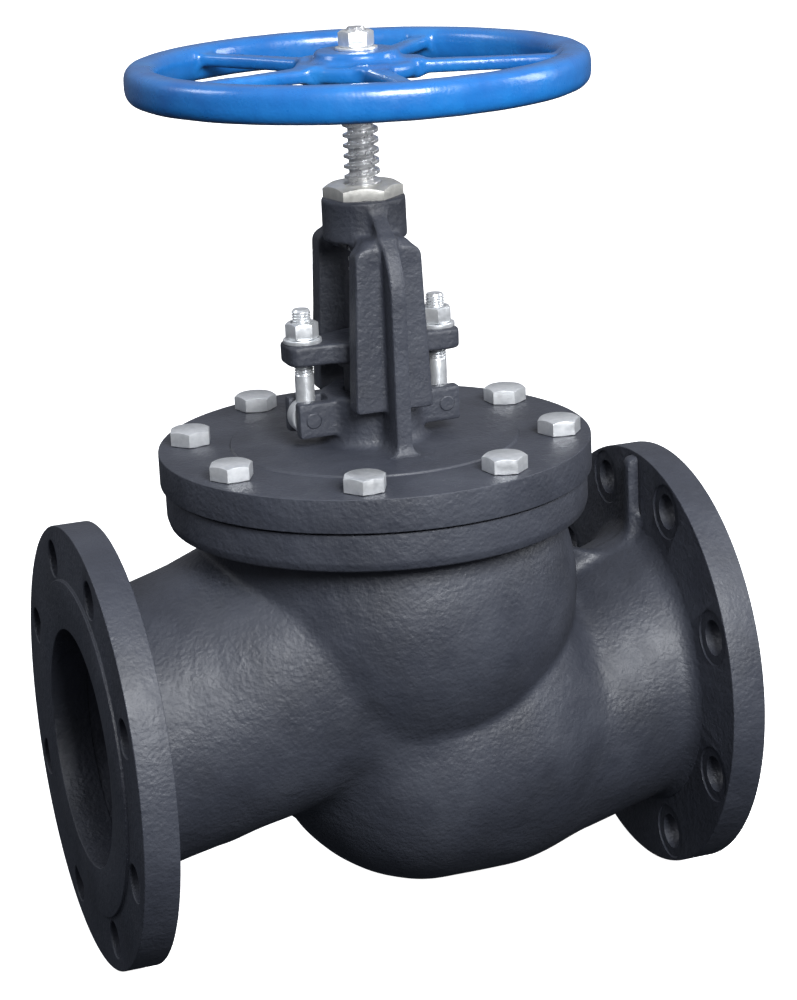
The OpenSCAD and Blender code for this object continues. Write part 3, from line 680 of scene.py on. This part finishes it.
# ---------------------------------------------------------------- casting
shell = skin("casting", casting, (-HALF + 6, -128, -136), (HALF - 6, 128, BODY_TOP - 4), 2.2)
flange_outline = rounded([(BORE, BACK), (FLANGE_R, BACK), (FLANGE_R, HALF - FACE_H),
                          (FACE_R, HALF - FACE_H), (FACE_R, HALF), (BORE, HALF)], 0.9)
bolt_angles = [22.5 + 45 * i for i in range(8)]
SPOT_R, SPOT_DEPTH = 18, 1
for side, hole_r in ((1, 11.7), (-1, 11.5)):
    place = Matrix.Rotation(math.radians(90 * side), 4, "Y")
    ring = revolve("pipe_flange", flange_outline, 192, place, 1)
    spots = [Matrix.Rotation(math.radians(angle), 4, "X")
             @ Matrix.Translation((0, 0, PIPE_BOLT_CIRCLE_R)) @ place for angle in bolt_angles]
    hole = [(hole_r, BACK - 4), (hole_r, HALF - FACE_H - 0.6),
            (hole_r + 0.7, HALF - FACE_H + 0.1), (hole_r + 0.7, HALF + 3)]
    ring = carve(ring, merged("holes", [solid("hole", hole, 48, at) for at in spots]), "DIFFERENCE")
    face = [(SPOT_R, BACK - 9), (SPOT_R, BACK + 0.4), (SPOT_R - 0.6, BACK + SPOT_DEPTH)]
    ring = carve(ring, merged("spots", [solid("spot", face, 64, at) for at in spots]), "DIFFERENCE")
    shell = carve(shell, ring, "UNION")
flange_low = BODY_TOP - BODY_FLANGE_T
top_outline = rounded([(98, flange_low), (126, flange_low), (131.5, flange_low + 2),
                       (BODY_FLANGE_R, flange_low + 7), (BODY_FLANGE_R, BODY_TOP),
                       (98, BODY_TOP)], 1.1)
shell = carve(shell, revolve("top_flange", top_outline, 192, Matrix(), 1), "UNION")
tapping = [(8.05, flange_low - 4), (8.05, BODY_TOP + 1)]
tapped = [solid("tapped", tapping, 32, turned(a, BOLT_CIRCLE)) for a in bolt_angles]
shell = carve(shell, merged("tapped", tapped), "DIFFERENCE")
piece("casting", shell, "casing", "cast_iron", [CAST, SHADED_MACHINED], ["body"])

# ---------------------------------------------------------------- bonnet and yoke
plate = revolve("bonnet_plate", rounded(
    [(12, JOINT - 10), (29, JOINT - 10), (29, JOINT - 1), (95.8, JOINT - 6), (95.8, JOINT),
     (BONNET_R, JOINT), (BONNET_R, BONNET_TOP), (91, BONNET_TOP), (90.4, BONNET_TOP + STEP_H),
     (12, BONNET_TOP + STEP_H)], 1.1), 192, Matrix(), 1)
upper = skin("yoke", yoke, (-64, -64, BONNET_TOP - 12), (64, 64, BOSS_TOP + 4), 1.3)
bonnet = carve(upper, plate, "UNION")
BOX_R, STEM_HOLE_R = 17.6, 11.6
bores = [
    solid("stuffing_box", [
        (17.55, JOINT - 14), (20.05, JOINT - 14), (20.05, JOINT + 6.05),
        (STEM_HOLE_R, JOINT + 6.05), (STEM_HOLE_R, JOINT + 13.5), (BOX_R, JOINT + 13.5),
        (BOX_R, STUFFING_TOP - 1), (BOX_R + 1, STUFFING_TOP + 0.05),
        (BOX_R + 1, STUFFING_TOP + 6)], 64),
    solid("nut_seat", [(17.1, BOSS_TOP - 34), (17.1, BOSS_TOP + 9)], 64)]
hole = [(8.6, JOINT - 9), (8.6, BONNET_TOP + 9)]
bores += [solid("bolt_hole", hole, 32, turned(a, BOLT_CIRCLE)) for a in bolt_angles]
bores += [solid("pin_hole", [(PIN_R + 0.1, -30), (PIN_R + 0.1, 30)], 32,
                turned(a, EYE_X, LUG_Z) @ ALONG_Y) for a in (0, 180)]
bonnet = carve(bonnet, merged("bores", bores), "DIFFERENCE")
piece("bonnet_and_yoke", bonnet, "casing", "cast_iron", [CAST, SHADED_MACHINED], ["bonnet"])

# ---------------------------------------------------------------- bonnet bolts
SHANK_R, HEAD_AF, HEAD_H = 7.95, 24, 9.3
bolts = []
for i, a in enumerate(bolt_angles):
    wrench_angle = math.radians((17 * i * i + 11) % 60)
    spin = turned(a, BOLT_CIRCLE) @ Matrix.Rotation(wrench_angle, 4, "Z")
    bolts.append(solid("washer_face", [(11.2, BONNET_TOP), (11.4, BONNET_TOP + 0.2),
                                       (11.4, BONNET_TOP + 0.7)], 48, spin))
    head_place = spin @ Matrix.Translation((0, 0, BONNET_TOP + 0.62))
    bolts.append(hex_solid("head", HEAD_AF, HEAD_H, head_place))
    flip = spin @ Matrix.Translation((0, 0, BONNET_TOP + 1)) @ Matrix.Rotation(math.pi, 4, "X")
    length = BONNET_TOP + 1 - (BODY_TOP - 23)
    bolts.append(studding("shank", SHANK_R, 0, length, 2.0, flip, 24))
bolts = merged("bonnet_bolts", bolts)
piece("bonnet_bolt_set", bolts, "casing", "zinc_steel", [ZINC], ["bonnet_bolts"])

# ---------------------------------------------------------------- gland
SLEEVE_BORE_R, SLEEVE_R, COLLAR_R = 11.35, 17.3, 21
follower = revolve("follower", rounded(
    [(SLEEVE_BORE_R, STUFFING_TOP - 5), (SLEEVE_R, STUFFING_TOP - 5), (SLEEVE_R, gland_lo[2] - 5),
     (COLLAR_R, gland_lo[2] - 5), (COLLAR_R, gland_lo[2]), (SLEEVE_BORE_R, gland_lo[2])], 0.6), 96)
piece("gland_sleeve", follower, "gland", "cast_iron", [CAST], ["gland_follower"])
plate = skin("gland_plate", gland_plate, (-60, -29, gland_lo[2] - 3),
             (60, 29, gland_hi[2] + 3), 1.0)
piece("gland_plate", plate, "gland", "cast_iron", [CAST], ["gland_flange"])
washers, nuts, eyes, pins = [], [], [], []
nut_z, eye_top = gland_hi[2] + 2.5, box_mm("gland_eye_bolts")[1][2]
for k, side in enumerate((0, 180)):
    spin = turned(side, EYE_X)
    eye_place = spin @ Matrix.Translation((0, 0, LUG_Z)) @ ALONG_Y
    washer = rounded([(6.5, gland_hi[2]), (12, gland_hi[2]), (12, nut_z), (6.5, nut_z)], 0.4)
    washers.append(revolve("washer", washer, 64, spin))
    nut_place = Matrix.Translation((0, 0, nut_z)) @ Matrix.Rotation(0.35 + 0.5 * k, 4, "Z")
    nut = hex_solid("nut", 18, 10.44, spin @ nut_place, both=True)
    bore = [(7.0, nut_z - 1), (7.0, nut_z + 0.1), (6.1, nut_z + 1), (6.1, nut_z + 9.4),
            (7.0, nut_z + 10.4), (7.0, nut_z + 12)]
    nuts.append(carve(nut, solid("bore", bore, 48, spin), "DIFFERENCE"))
    ring = rounded([(PIN_R + 0.05, -6), (EYE_R, -6), (EYE_R, 6), (PIN_R + 0.05, 6)], 1.6)
    eye = revolve("eye", ring, 64, eye_place)
    shank = studding("eye_shank", M12_R, LUG_Z + 7, eye_top, M12_PITCH, spin, LUG_Z + 26)
    eyes.append(carve(eye, shank, "UNION"))
    pin = [(4.2, -15.6), (PIN_R, -15), (PIN_R, 15), (4.2, 15.6)]
    pins.append(solid("pin", pin, 40, eye_place))
for name, meshes, body, slot, look, node in (
        ("gland_washer_pair", washers, "gland", "zinc_steel", ZINC, "gland_washers"),
        ("gland_nut_pair", nuts, "gland", "zinc_steel", ZINC, "gland_nuts"),
        ("eye_bolt_pair", eyes, "casing", "zinc_steel", ZINC, "gland_eye_bolts"),
        ("eye_pin_pair", pins, "casing", "cast_iron", CAST, "eye_bolt_pins")):
    piece(name, merged(name, meshes), body, slot, [look], [node])

# ---------------------------------------------------------------- yoke nut
nut_top = yoke_nut_hi[2]
yoke_nut = hex_solid("yoke_nut", 43, nut_top - BOSS_TOP,
                     Matrix.Translation((0, 0, BOSS_TOP)) @ Matrix.Rotation(0.2, 4, "Z"))
shank = [(16, BOSS_TOP - 26), (17, BOSS_TOP - 25), (17, BOSS_TOP + 2)]
yoke_nut = carve(yoke_nut, solid("shank", shank, 64), "UNION")
bore = [(11.06, BOSS_TOP - 30), (11.06, nut_top - 1), (12.4, nut_top + 0.3), (12.4, nut_top + 3)]
yoke_nut = carve(yoke_nut, solid("bore", bore, 64), "DIFFERENCE")
piece("yoke_bush", yoke_nut, "casing", "yoke_bronze", [YOKE_BRONZE], ["yoke_nut"])

# ---------------------------------------------------------------- stem
head = box_mm("stem")[0][2]
hub_top = wheel_hi[2]
collar = JOINT - 13.3
profile = [(15.7, head), (16.5, head + 0.8), (16.5, head + 7.2), (15.7, head + 8),
           (STEM_R, head + 8.3), (STEM_R, collar - 6), (16, collar - 5.9), (16, collar),
           (STEM_R, collar + 5)]
thread = thread_rows(THREAD_Z[0] - 3, THREAD_Z[1] - 0.2, THREAD_PITCH, 22)
square = [THREAD_Z[1], THREAD_Z[1] + 0.01, hub_top - 1.05, hub_top - 1]
stud = [hub_top - 0.9] + thread_rows(hub_top, stem_hi[2] - 1, M12_PITCH, 8) + [stem_hi[2]]
rows = [z for _, z in profile] + thread + square + stud


def stem_radius(a, z, i):
    """Radius of the stem at row i: head and collar, then thread, then square, then stud."""
    if i < len(profile):
        return profile[i][0] + 0 * a
    i -= len(profile)
    if i < len(thread):
        fade = np.clip((z - thread[0]) / 4, 0, 1) * np.clip((thread[-1] - z) / 2, 0, 1)
        return STEM_R - fade * thread_cut(a, z, THREAD_PITCH, 3.1, 0.3, 0.3)
    i -= len(thread)
    if i < len(square):
        flat = np.minimum(7.5 / np.maximum(abs(np.cos(a)), abs(np.sin(a))), 10.2)
        return (9.5 + 0 * a, flat, flat, 6 + 0 * a)[i]
    i -= len(square)
    if i == len(stud) - 1:
        return 5.1 + 0 * a
    return M12_R - thread_cut(a, z, M12_PITCH, 0.95, 0.12, 0.12)


spindle = tower("stem", rows, stem_radius, 72)
piece("stem_spindle", spindle, "stem", "stainless", [STEEL], ["stem"], 40)

# ---------------------------------------------------------------- handwheel
reach = WHEEL_R + 3
wheel_mesh = skin("handwheel", wheel, (-reach, -reach, wheel_lo[2] - 3),
                  (reach, reach, wheel_hi[2] + 3), 1.6)
keyway = tower("keyway", [wheel_lo[2] - 9, wheel_hi[2] + 9],
               lambda a, z, i: 7.6 / np.maximum(abs(np.cos(a)), abs(np.sin(a))), 64)
wheel_mesh = carve(wheel_mesh, keyway, "DIFFERENCE")
piece("hand_wheel", wheel_mesh, "stem", "blue_paint", [WHEEL], ["handwheel"])
washer = revolve("wheel_washer", rounded(
    [(6.5, hub_top), (12.9, hub_top), (12.9, hub_top + 1.6), (6.5, hub_top + 1.6)], 0.4), 64)
piece("wheel_washer", washer, "stem", "zinc_steel", [ZINC], ["handwheel_washer"])
nut_low, nut_top = (corner[2] for corner in box_mm("handwheel_nut"))
nut = hex_solid("wheel_nut", 19, nut_top - nut_low,
                Matrix.Translation((0, 0, nut_low)) @ Matrix.Rotation(0.3, 4, "Z"), both=True)
bore = [(6.9, nut_low - 1), (6.1, nut_low + 1), (6.1, nut_top - 1), (6.9, nut_top + 0.1),
        (6.9, nut_top + 2)]
nut = carve(nut, solid("bore", bore, 48), "DIFFERENCE")
piece("wheel_nut", nut, "stem", "zinc_steel", [ZINC], ["handwheel_nut"])

# ---------------------------------------------------------------- pieces kept from the frame
KEPT = {"seat_ring": BRONZE, "disc": BRONZE, "disc_face_ring": STEEL, "disc_nut": BRONZE,
        "bonnet_gasket": GASKET, "back_seat_bush": BRONZE, "packing_washer": STEEL,
        "packing_rings": PACKING}
for node, look in KEPT.items():
    for material_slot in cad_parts[node].material_slots:
        material_slot.material = look

# ---------------------------------------------------------------- stage, light and camera
# The sweep is white to the camera and lights nothing, so undersides stay dark.
sweep = [(3.5, 0.0), (1.0, 0.0), (-1.6, 0.0)]
sweep += [(-1.6 - 0.8 * math.sin(t), 0.8 - 0.8 * math.cos(t))
          for t in np.linspace(0.08, math.pi / 2, 20)]
sweep += [(-2.4, 3.2)]
floor_z = -FLANGE_R * MM - 0.0003
floor_mesh = bpy.data.meshes.new("sweep")
floor_mesh.from_pydata([(side, y, z + floor_z) for y, z in sweep for side in (4.5, -4.5)], [],
                       [(2 * k, 2 * k + 1, 2 * k + 3, 2 * k + 2)
                        for k in range(len(sweep) - 1)])
floor_mesh.polygons.foreach_set("use_smooth", np.ones(len(floor_mesh.polygons), bool))
floor = bpy.data.objects.new("floor", floor_mesh)
bpy.context.scene.collection.objects.link(floor)
pale = Look("floor_pale", Roughness=0.9, Specular_IOR_Level=0.1, Emission_Color=(1, 1, 1, 1),
            Emission_Strength=1.0)
pale.colours(pale.noise(0.7, 2), [(0.3, (0.86, 0.86, 0.86)), (0.7, (0.9, 0.9, 0.9))])
floor_mesh.materials.append(pale.mat)
floor.visible_diffuse = floor.visible_glossy = False

world = bpy.data.worlds.new("studio")
world.use_nodes = True
background = world.node_tree.nodes["Background"]
sky = world.node_tree
split, ramp = sky.nodes.new("ShaderNodeSeparateXYZ"), sky.nodes.new("ShaderNodeValToRGB")
below, overhead = ramp.color_ramp.elements
below.position, below.color = 0.35, (0.03, 0.035, 0.045, 1)
overhead.position, overhead.color = 0.95, (0.55, 0.56, 0.60, 1)
lift = sky.nodes.new("ShaderNodeMapRange")
lift.inputs["From Min"].default_value = -1
sky.links.new(sky.nodes.new("ShaderNodeTexCoord").outputs["Generated"], split.inputs["Vector"])
sky.links.new(split.outputs["Z"], lift.inputs["Value"])
sky.links.new(lift.outputs["Result"], ramp.inputs["Fac"])
sky.links.new(ramp.outputs["Color"], background.inputs["Color"])
background.inputs["Strength"].default_value = 1.0
bpy.context.scene.world = world
bpy.context.scene.view_settings.view_transform = "Standard"


def area(name, place, aim, size, power, colour):
    """A rectangular light turned to its aim."""
    data = bpy.data.lights.new(name, "AREA")
    data.shape, data.size, data.size_y = "RECTANGLE", size[0], size[1]
    data.energy, data.color = power, colour
    obj = bpy.data.objects.new(name, data)
    bpy.context.scene.collection.objects.link(obj)
    obj.location = place
    obj.rotation_euler = (Vector(aim) - Vector(place)).to_track_quat("-Z", "Y").to_euler()


middle = (HALF * MM, 0, 0.12)
area("key", (0.15, 1.8, 1.35), middle, (0.9, 0.9), 88, (0.96, 0.98, 1.0))
area("side", (-1.5, 0.5, 0.9), middle, (0.5, 0.9), 16, (0.95, 0.97, 1.0))
area("left", (1.5, -0.4, 1.3), middle, (0.5, 0.5), 7, (0.9, 0.95, 1.0))

# The focal length is in units of which the frame's longer side holds 1000.
YAW, PITCH, ROLL, FOCAL = 0.3422, -0.2907, -0.0441, 2688.88
CAMERA_AT = Vector((0.73756, 1.54056, 0.61974))
SENSOR = 36
ahead = Vector((-math.sin(YAW) * math.cos(PITCH), -math.cos(YAW) * math.cos(PITCH),
                math.sin(PITCH)))
level = Vector((-math.cos(YAW), math.sin(YAW), 0))
above = level.cross(ahead)
right = math.cos(ROLL) * level + math.sin(ROLL) * above
up = math.cos(ROLL) * above - math.sin(ROLL) * level
camera = bpy.data.objects.new("camera", bpy.data.cameras.new("camera"))
bpy.context.scene.collection.objects.link(camera)
turn = Matrix((right, up, -ahead)).transposed().to_4x4()
camera.matrix_world = Matrix.Translation(CAMERA_AT) @ turn
camera.data.sensor_width = SENSOR
camera.data.lens = FOCAL * SENSOR / 1000
bpy.context.scene.camera = camera
